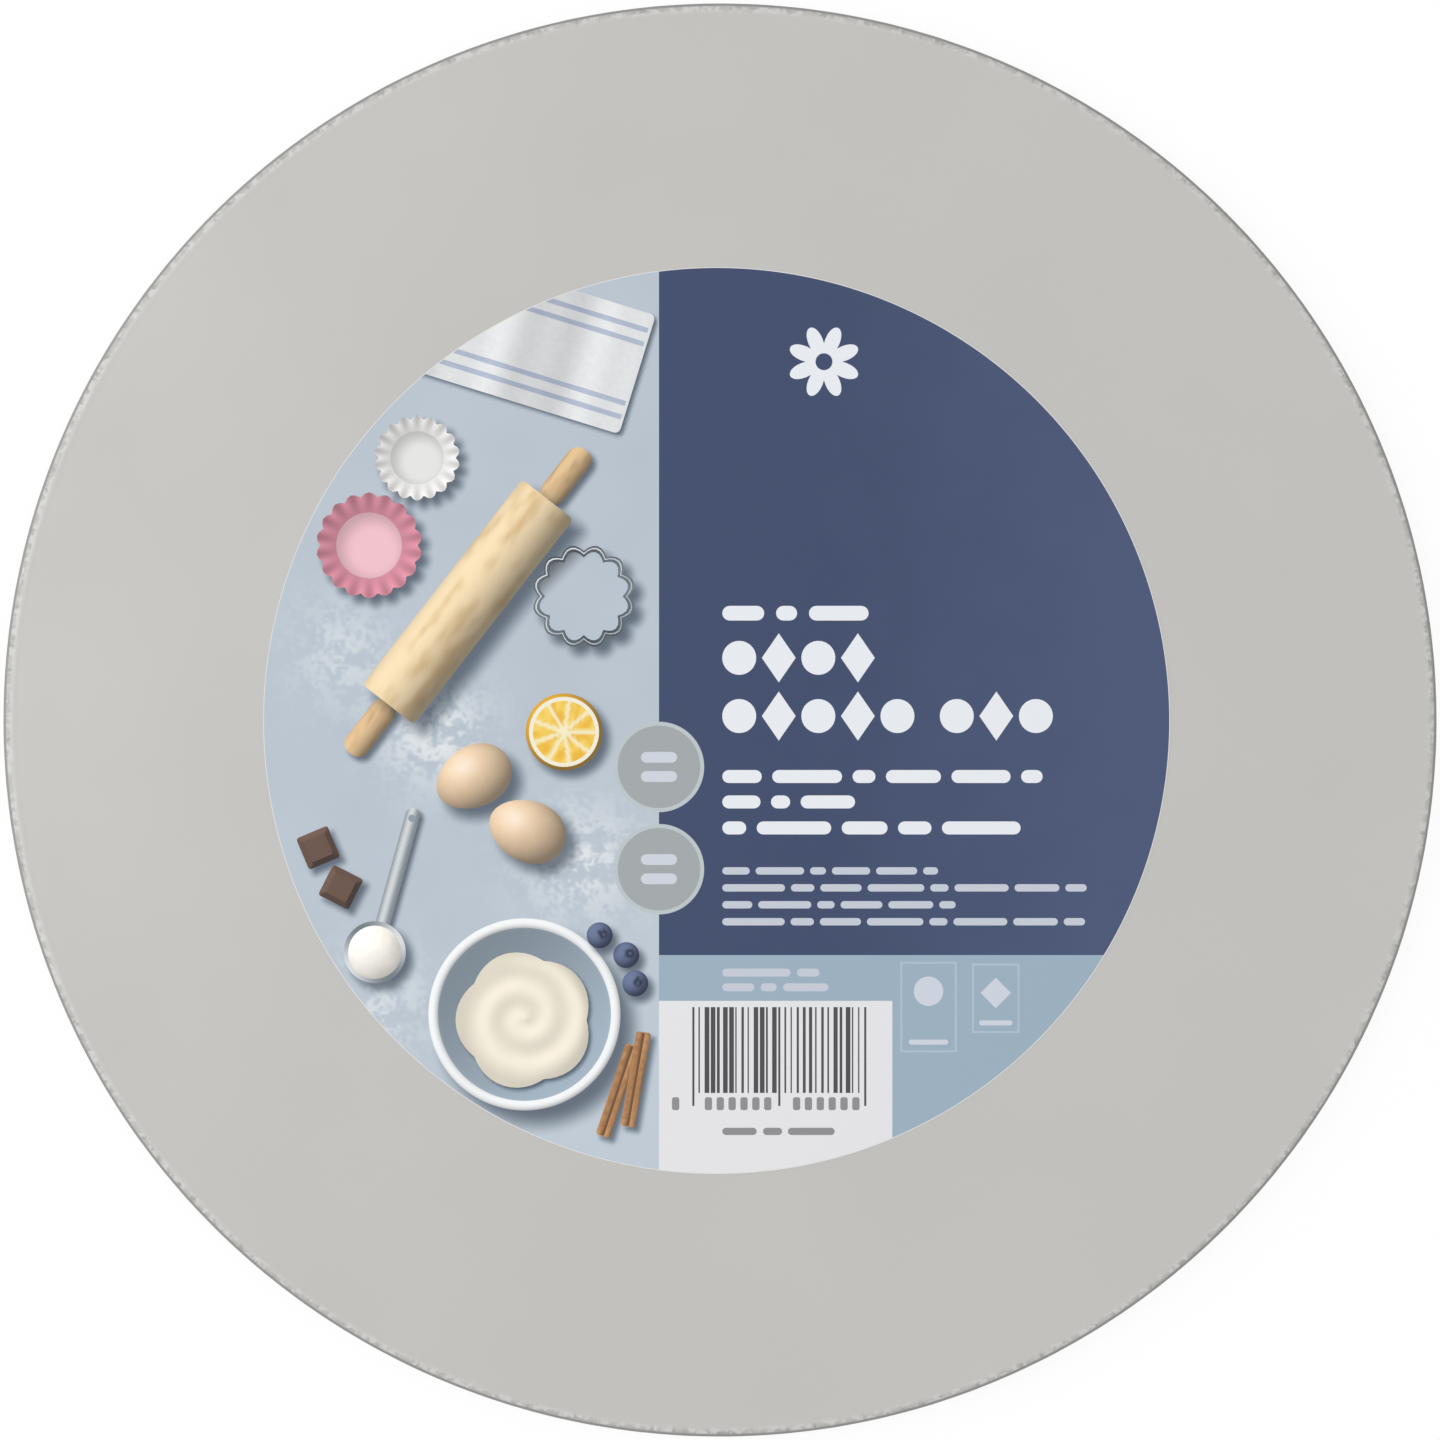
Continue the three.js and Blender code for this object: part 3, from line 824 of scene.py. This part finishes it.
# The spoon, with the middle of its handle and the hole at its end
spoon_x, spoon_y, spoon_turn = -60.5, -41, 1.3
handle_x, handle_y = spoon_x + 15.5 * np.cos(spoon_turn), spoon_y + 15.5 * np.sin(spoon_turn)
hole_x, hole_y = spoon_x + 24.6 * np.cos(spoon_turn), spoon_y + 24.6 * np.sin(spoon_turn)


def steel_handle(x, y):
    """Pressed steel handle, round across, with a bright line along it."""
    _, across = local(x, y, handle_x, handle_y, spoon_turn)
    from_shine = np.abs(across / 1.3 - 0.25)
    return mixed(colour("#7d858c"), colour("#d5d9dc"), smooth(1, 0, from_shine))


def spoon_rim(x, y):
    """Steel edge of the spoon's bowl."""
    angle, _ = polar(x, y, spoon_x, spoon_y)
    return mixed(colour("#737b83"), colour("#d9dcde"), 0.5 + 0.5 * np.sin(2 * angle + 0.5))


def heaped_flour(x, y):
    """Flour heaped in the spoon."""
    lean_x, lean_y = (x - spoon_x) / 7, (y - spoon_y) / 7
    lumps = 1 + 0.035 * cloud(x, y, 0.8, 8.8) + 0.03 * cloud(x, y, 2.4, 1.8)
    return colour("#eeeae2") * (lit(lean_x, lean_y, 0.66) * lumps)[:, None]


lay(bar(handle_x, handle_y, 22, 2.6, spoon_turn), steel_handle, 0.8)
lay(disc(spoon_x, spoon_y, 5.5), spoon_rim, 1.6)
lay(disc(spoon_x, spoon_y, 4.7), heaped_flour)
lay(disc(hole_x, hole_y, 0.65, count=20), colour("#8d9aa4"))


def egg(egg_x, egg_y, turn):
    """Hen's egg, blunt at one end, with a matt shell."""

    def shell(x, y):
        u, v = local(x, y, egg_x, egg_y, turn)
        lean_x, lean_y = turned(np.column_stack((u / 7.6, v / 5.9)), 0, 0, turn).T
        glow = np.exp(-((lean_x + 0.3) ** 2 + (lean_y - 0.32) ** 2) / 0.09)
        bright = lit(lean_x, lean_y, 0.56) * (1 + 0.02 * cloud(x, y, 1, 9.1))
        return mixed(colour("#e3c7a6") * bright[:, None], colour("#fbf3e8"), 0.6 * glow)

    angle = np.linspace(0, 2 * np.pi, 64, endpoint=False)
    blunt = 1 + 0.1 * np.cos(angle)
    outline = np.column_stack((7 * np.cos(angle), 5.4 * blunt * np.sin(angle)))
    lay(turned(outline, egg_x, egg_y, turn), shell, 2.2)


egg(-43, -10, 0.5)
egg(-33.5, -19.5, -0.4)


def berry(berry_x, berry_y):
    """Blueberry with a dusty bloom, and its crown to one side."""

    def skin(x, y):
        lean_x, lean_y = (x - berry_x) / 2.45, (y - berry_y) / 2.45
        bloom = smooth(0.1, 1.1, lit(lean_x, lean_y, 0.2))
        tone = mixed(colour("#262c44"), colour("#6d7a9b"), bloom)
        crown = np.hypot(x - berry_x - 0.5, y - berry_y - 0.3)
        return mixed(tone, colour("#20243a"), smooth(0.95, 0.6, crown) * smooth(0.15, 0.45, crown))

    lay(disc(berry_x, berry_y, 2.3, count=40), skin, 1.3)


for berry_x, berry_y in ((-16, -41.5), (-20.7, -38), (-14.4, -46.5)):
    berry(berry_x, berry_y)


def chocolate(piece_x, piece_y, turn):
    """Piece of chocolate with sloping sides round a flat top."""

    def sides(x, y):
        u, v = local(x, y, piece_x, piece_y, turn)
        is_end = np.abs(u) > np.abs(v)
        lean = np.column_stack((np.where(is_end, np.sign(u), 0), np.where(is_end, 0, np.sign(v))))
        lean_x, lean_y = turned(lean, 0, 0, turn).T
        return colour("#6b5347") * lit(0.75 * lean_x, 0.75 * lean_y, 0.5)[:, None]

    lay(bar(piece_x, piece_y, 6, 6, turn, 0.5), sides, 1.2)
    lay(bar(piece_x, piece_y, 4, 4, turn, 0.3), colour("#664f45"))


chocolate(-70.5, -22.5, 0.4)
chocolate(-66.5, -29.5, 1.1)


def cinnamon(stick_x, stick_y, turn):
    """Cinnamon bark, rolled in from both sides."""

    def bark(x, y):
        u, v = local(x, y, stick_x, stick_y, turn)
        v = v / 1.35
        roll = np.abs(v) * 2 - 1
        lean = np.sign(v) * roll * 0.8
        streaks = cloud(u / 5, v * 5, 1, 6.6)
        tone = mixed(colour("#b98a5e"), colour("#9a6d45"), smooth(-0.4, 0.6, streaks))
        return tone * lit(-lean * np.sin(turn), lean * np.cos(turn))[:, None]

    lay(bar(stick_x, stick_y, 17, 2.6, turn, 0.5), bark, 1)
    lay(bar(stick_x, stick_y, 16.6, 0.4, turn, 0.1), colour("#6e4d31"))


cinnamon(-17.5, -65.5, 1.25)
cinnamon(-14.3, -63.5, 1.4)

# Dark field, pale band and white panel
fill(block(seam, label_radius, label_radius - seam, label_radius - band_top), "navy")
fill(block(seam, band_top, label_radius - seam, label_radius + band_top), "band")
panel_top = -49.6
fill(block(seam, panel_top, 41.3, label_radius + panel_top), "panel")

# Stripes of uneven width on the panel, the outer and middle ones longer
stripe_count = 29
stripes_left, stripes_width = -4.3, 31.5
pitch = stripes_width / stripe_count
for i in range(stripe_count):
    is_long = i in (0, stripe_count // 2, stripe_count - 1)
    width = pitch * (0.35 if is_long else 0.5 + 0.28 * np.sin(5.1 * i * i))
    tall = 15.2 + (2.3 if is_long else 0)
    fill(block(stripes_left + i * pitch, panel_top - 1.1, width, tall), "black")
# A line of bars near the panel's foot, and a plain block for each character below the stripes
foot_y, blocks_y, block_width, block_pitch = -72.7, -67.8, 1.3, 2.1
for left, length in ((1, 6.1), (8.2, 3.4), (12.6, 8.3)):
    fill(bar(left + length / 2, foot_y, length, 1.3), "grey")
for left, blocks in ((-7.9, 1), (-2.1, 6), (13.5, 6)):
    for i in range(blocks):
        middle_x = left + block_width / 2 + block_pitch * i
        fill(bar(middle_x, blocks_y, block_width, 2.3, 0, 0.4), "grey")

# Title: two rows of beads and lozenges in turn
bead_radius, bead_pitch = 3, 7
title_y, row_pitch = 11.1, 10.3
for row, groups in enumerate(((4,), (5, 3))):
    place_in_row = 0
    middle_y = title_y - row_pitch * row
    for group in groups:
        for i in range(group):
            middle_x = text_left + bead_radius + (place_in_row + i) * bead_pitch
            bead = disc(middle_x, middle_y, bead_radius)
            fill(bead if i % 2 == 0 else lozenge(middle_x, middle_y, 6, 8.7), "white")
        place_in_row += group + 0.5

# Lines of print as one rounded bar for each word: right end, middle, height and word count. Small
# print is thin, so its bars are paler than the ink of the large print.
lines = [
    (26.9, 19, 2.6, 3),
    (57.7, -9.9, 2.3, 6),
    (24.5, -14.4, 2.3, 3),
    (53.8, -19, 2.3, 5),
    (39.2, -26.6, 1.3, 6),
    (65.5, -29.6, 1.3, 8),
    (42.3, -32.6, 1.3, 6),
    (65.2, -35.6, 1.3, 8),
    (18.2, -44.6, 1.4, 2),
    (19.8, -47.2, 1.4, 3),
]
for right, middle_y, tall, words in lines:
    gap = 0.8 * tall
    lengths = 1 + 0.55 * np.sin(2.3 * np.arange(words) + words)
    lengths *= (right - text_left - gap * (words - 1)) / lengths.sum()
    left = text_left
    for length in lengths:
        word = bar(left + length / 2, middle_y, length, tall)
        fill(word, "white" if tall > 2 else "pale")
        left += length + gap

# Rosette near the head of the dark field
rosette_x, rosette_y = 19, 63.5
fill(lobed(rosette_x, rosette_y, 6.5, 8, 3.25, 12), "white")
fill(disc(rosette_x, rosette_y, 1.5), "navy")

# Two framed marks on the band, each a plain figure with a bar under it
line = 0.35
for left, top, wide, tall, is_round in (
    (32.5, -42.7, 10, 16, True),
    (45.2, -43, 8.4, 12.3, False),
):
    middle_x, middle_y = left + wide / 2, top - 5.2
    fill(block(left, top, wide, tall), "frame")
    fill(block(left + line, top - line, wide - 2 * line, tall - 2 * line), "band")
    if is_round:
        fill(disc(middle_x, middle_y, 2.6), "mark")
    else:
        fill(lozenge(middle_x, middle_y, 5.4, 5.4), "mark")
    fill(bar(middle_x, top - tall + 1.8, 0.7 * wide, 0.9), "mark")

# Round badges on the seam, with a paler ring and two bars
for middle_y in (-8.2, -26.3):
    fill(disc(seam, middle_y, 8, count=96), "rim")
    fill(disc(seam, middle_y, 7.3, count=96), "badge")
    for row in (0.5, -0.5):
        fill(bar(seam, middle_y + 3.4 * row, 6.4, 1.9), "mark")

# Coated printing paper: smooth, with a weak soft shine and hardly any relief. The inks are flat
# colours, and the picture's colours are painted on the mesh.
inks = {
    "picture": None,
    "navy": "#3a4768",
    "band": "#99aebe",
    "panel": "#e3e3e5",
    "black": "#4a494c",
    "white": "#e6e9ee",
    "pale": "#c3c9d4",
    "grey": "#8d8c8f",
    "badge": "#a1a7a9",
    "rim": "#bac3c6",
    "frame": "#abbece",
    "mark": "#ccd2dc",
    "paper": "#dcdcdb",
}
coating_height, mottle_shift = 0.004 * mm, 30 * mm
printed = {}
for name, code in inks.items():
    printed[name] = new_material(f"coated_paper_{name}")
    nodes = printed[name].node_tree
    place = add(nodes, "ShaderNodeTexCoord").node.outputs["Object"]
    # Coating grain of about 0.5 mm, drawn coarser than the real one so that it shows
    coating = add(
        nodes, "ShaderNodeTexNoise", {"Vector": place, "Scale": 1 / (0.5 * mm), "Detail": 3}
    )
    relief = add(nodes, "ShaderNodeMath", {0: coating, 1: coating_height}, operation="MULTIPLY")
    bump = add(nodes, "ShaderNodeBump", {"Strength": 1, "Distance": 1, "Height": relief})
    gloss = add(nodes, "ShaderNodeMapRange", {"Value": coating, "To Min": 0.42, "To Max": 0.52})
    looks = {"Roughness": gloss, "Normal": bump, "Specular IOR Level": 0.3}
    if name == "picture":
        looks["Base Color"] = add(nodes, "ShaderNodeAttribute", attribute_name="ink")
    elif name == "navy":
        # The large dark field is a little lighter to the right, and faintly mottled over 12 mm
        across = add(nodes, "ShaderNodeSeparateXYZ", {0: place})
        mottle = add(
            nodes, "ShaderNodeTexNoise", {"Vector": place, "Scale": 1 / (12 * mm), "Detail": 2}
        )
        shifted = add(
            nodes,
            "ShaderNodeMath",
            {0: mottle, 1: mottle_shift, 2: across},
            operation="MULTIPLY_ADD",
        )
        share = add(
            nodes,
            "ShaderNodeMapRange",
            {"Value": shifted, "From Min": 34 * mm, "From Max": 84 * mm},
        )
        looks["Base Color"] = add(
            nodes,
            "ShaderNodeMix",
            {"Factor": share, "A": linear(code), "B": linear("#455373")},
            data_type="RGBA",
        )
    else:
        looks["Base Color"] = linear(code)
    surface = add(nodes, "ShaderNodeBsdfPrincipled", looks)
    add(nodes, "ShaderNodeOutputMaterial", {"Surface": surface})

# The printed face is cut into triangles along all outlines: the sheet's own, the inner side of
# its cut edge, and the figures'. The picture has a fine net of points to carry its colours.
outlines = [disc(0, 0, radius, count=360) for radius in (label_radius, label_radius - cut_edge)]
before_figures = len(outlines)
outlines += [figure["outline"] for figure in figures]
net_step, net_margin = 0.55, 0.5
rows = np.arange(-label_radius, label_radius, net_step * np.sqrt(3) / 2)
net = []
for i, net_y in enumerate(rows):
    net_x = np.arange(-label_radius, seam, net_step) + (i % 2) * net_step / 2
    net.append(np.column_stack((net_x, np.full(len(net_x), net_y))))
net = np.vstack(net)
net = net[(np.hypot(*net.T) < label_radius - net_margin) & (net[:, 0] < seam)]
ends = np.cumsum([len(outline) for outline in outlines])
faces = [list(range(end - len(outline), end)) for end, outline in zip(ends, outlines)]
corners = [Vector(p) for p in np.vstack(outlines + [net])]
triangles_inside, merge_distance = 1, 1e-5
points, _, triangles, _, _, owners = delaunay_2d_cdt(
    corners, [], faces, triangles_inside, merge_distance
)
kept = [i for i, owner in enumerate(owners) if 0 in owner]
top = np.array([triangles[i] for i in kept])
uppermost = np.array([max(owners[i]) for i in kept]) - before_figures
is_edge = np.array([1 not in owners[i] for i in kept])
points = np.array([tuple(p) for p in points])
used, top = np.unique(top, return_inverse=True)
top = top.reshape(-1, 3)
points = points[used]


def light_left(x, y, first):
    """Share of light left under the soft shadows of the things laid from first on."""
    left = np.ones(len(x))
    for figure in figures[first:]:
        stands = figure["stands"]
        if stands:
            outline = figure["outline"] + np.array(shadow_side) * stands
            low, high = outline.min(axis=0) - 2 * stands, outline.max(axis=0) + 2 * stands
            near = (x > low[0]) & (x < high[0]) & (y > low[1]) & (y < high[1])
            away = distance(x[near], y[near], outline)
            soft = shadow_width * stands
            left[near] *= 1 - shadow_depth * smooth(soft, -soft, away)
    return left


painted = np.ones((len(top), 3, 4))
for i in range(-1, len(figures)):
    of_figure = uppermost == i
    paint = table if i < 0 else figures[i]["paint"]
    if paint is None or not of_figure.any():
        continue
    ids, place_in_ids = np.unique(top[of_figure], return_inverse=True)
    x, y = points[ids].T
    shares = paint(x, y) if callable(paint) else np.tile(paint, (len(x), 1))
    dusk = light_left(x, y, i + 1)[:, None]
    shares = np.clip(shares * (dusk + (1 - dusk) * colour("#33404f")), 0, 1)
    painted[of_figure, :, :3] = to_linear(shares)[place_in_ids].reshape(-1, 3, 3)

# Wall and back of the sheet, from the rim of the printed face
following = {(a, b) for face in top for a, b in zip(face, np.roll(face, -1))}
rim_ids = np.array([a for a, b in following if (b, a) not in following])
rim_ids = rim_ids[np.argsort(np.arctan2(points[rim_ids, 1], points[rim_ids, 0]))]
rim_count = len(rim_ids)
first_low = len(points)
low_ids = first_low + np.arange(rim_count)
middle_id = first_low + rim_count
next_rim, next_low = np.roll(rim_ids, -1), np.roll(low_ids, -1)
wall = np.vstack(
    (np.column_stack((rim_ids, low_ids, next_low)), np.column_stack((rim_ids, next_low, next_rim)))
)
back = np.column_stack((np.full(rim_count, middle_id), next_low, low_ids))
every_face = np.vstack((top, wall, back))
flat_places = np.vstack((points, points[rim_ids], [(0, 0)]))
heights = np.full(len(flat_places), label_low[2])
heights[:first_low] = label_high[2]
places = np.column_stack((flat_places * mm + label_middle, heights))

label_mesh = bpy.data.meshes.new("printed_label")
label_mesh.from_pydata(places.tolist(), [], every_face.tolist())
slots = list(inks)
for name in slots:
    label_mesh.materials.append(printed[name])
# The bare table has the number -1, so its slot comes last
slot_of_figure = [slots.index(figure["slot"]) for figure in figures]
slot_of_figure = np.array(slot_of_figure + [slots.index("picture")])
slot_ids = np.full(len(every_face), slots.index("paper"))
slot_ids[: len(top)] = np.where(is_edge, slots.index("paper"), slot_of_figure[uppermost])
label_mesh.polygons.foreach_set("material_index", slot_ids)
ink = label_mesh.color_attributes.new("ink", "FLOAT_COLOR", "CORNER")
ink_values = np.ones((len(every_face), 3, 4))
ink_values[: len(top)] = painted
ink.data.foreach_set("color", ink_values.ravel())

# Flat map of the sheet: the printed face fills it, with the wall as a thin ring round it and the
# back small in a corner
face_share, wall_share, back_share, back_middle = 0.488, 0.25, 0.06, 0.925
uv = 0.5 + flat_places[every_face] * (face_share / label_radius)
wall_uv = uv[len(top) : len(top) + len(wall)]
is_low = every_face[len(top) : len(top) + len(wall)] >= first_low
wall_uv[is_low] = 0.5 + (wall_uv[is_low] - 0.5) * (1 + wall_share / label_radius)
uv[len(top) + len(wall) :] = back_middle + flat_places[back] * back_share / label_radius
uv_map = label_mesh.uv_layers.new(name="OFBake")
uv_map.data.foreach_set("uv", uv.ravel())
label_mesh.update()

label = bpy.data.objects.new("printed_label", label_mesh)
bpy.context.scene.collection.objects.link(label)
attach(label, "root")
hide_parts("label")

# Studio: a white sweep under even white light, with one soft lamp to the left. The floor
# shows white to the camera but keeps the board's soft shadow.

reach, low = 4.0, -0.05 * mm
floor_mesh = bpy.data.meshes.new("floor")
floor_corners = [(-reach, -reach, low), (reach, -reach, low), (reach, reach, low)]
floor_mesh.from_pydata(floor_corners + [(-reach, reach, low)], [], [(0, 1, 2, 3)])
floor = bpy.data.objects.new("floor", floor_mesh)
bpy.context.scene.collection.objects.link(floor)


def seen_directly(tree):
    """1 for rays from the camera, also by way of a gloss or through glass, and 0 for others."""
    paths = add(tree, "ShaderNodeLightPath").node.outputs
    seen = add(
        tree,
        "ShaderNodeMath",
        {0: paths["Is Camera Ray"], 1: paths["Is Glossy Ray"]},
        operation="MAXIMUM",
    )
    return add(
        tree, "ShaderNodeMath", {0: seen, 1: paths["Is Transmission Ray"]}, operation="MAXIMUM"
    )


# Matt white paper. Nine tenths of what is seen of it is its own white, and the rest takes the
# light and the shadow.
sweep = new_material("white_studio_paper")
nodes = sweep.node_tree
own_white = 0.9
glow_share = add(
    nodes, "ShaderNodeMath", {0: seen_directly(nodes), 1: own_white}, operation="MULTIPLY"
)
matt = add(nodes, "ShaderNodeBsdfDiffuse", {"Color": (1, 1, 1, 1)})
glow = add(nodes, "ShaderNodeEmission", {"Color": (1, 1, 1, 1), "Strength": 1})
both = add(nodes, "ShaderNodeMixShader", {0: glow_share, 1: matt, 2: glow})
add(nodes, "ShaderNodeOutputMaterial", {"Surface": both})
floor_mesh.materials.append(sweep)

world = bpy.data.worlds.new("white_room")
world.use_nodes = True
world.node_tree.nodes.clear()
nodes = world.node_tree
strength = add(
    nodes,
    "ShaderNodeMapRange",
    {"Value": seen_directly(nodes), "To Min": 0.82, "To Max": 1.0},
)
sky = add(nodes, "ShaderNodeBackground", {"Color": (1, 1, 1, 1), "Strength": strength})
add(nodes, "ShaderNodeOutputWorld", {"Surface": sky})
bpy.context.scene.world = world

lamp_data = bpy.data.lights.new("soft_lamp", "AREA")
lamp_data.shape = "DISK"
lamp_data.size = 1.1
lamp_data.energy = 6.5
lamp = bpy.data.objects.new("soft_lamp", lamp_data)
lamp.location = (-1.02, 0.24, 0.62)
lamp.rotation_euler = (Vector((0, 0, 0)) - lamp.location).to_track_quat("-Z", "Y").to_euler()
bpy.context.scene.collection.objects.link(lamp)

# Camera: straight above, with the head of the print up. The photograph is 255.2 mm wide at the
# height of the board's rim.
rim_height, photo_width = 2.2 * mm, 255.2 * mm
camera_data = bpy.data.cameras.new("camera")
camera_data.lens = 100
camera_data.sensor_width = 36
camera = bpy.data.objects.new("camera", camera_data)
away = photo_width * camera_data.lens / camera_data.sensor_width
camera.location = (0, 0, rim_height + away)
bpy.context.scene.collection.objects.link(camera)
bpy.context.scene.camera = camera
bpy.context.scene.view_settings.view_transform = "Standard"
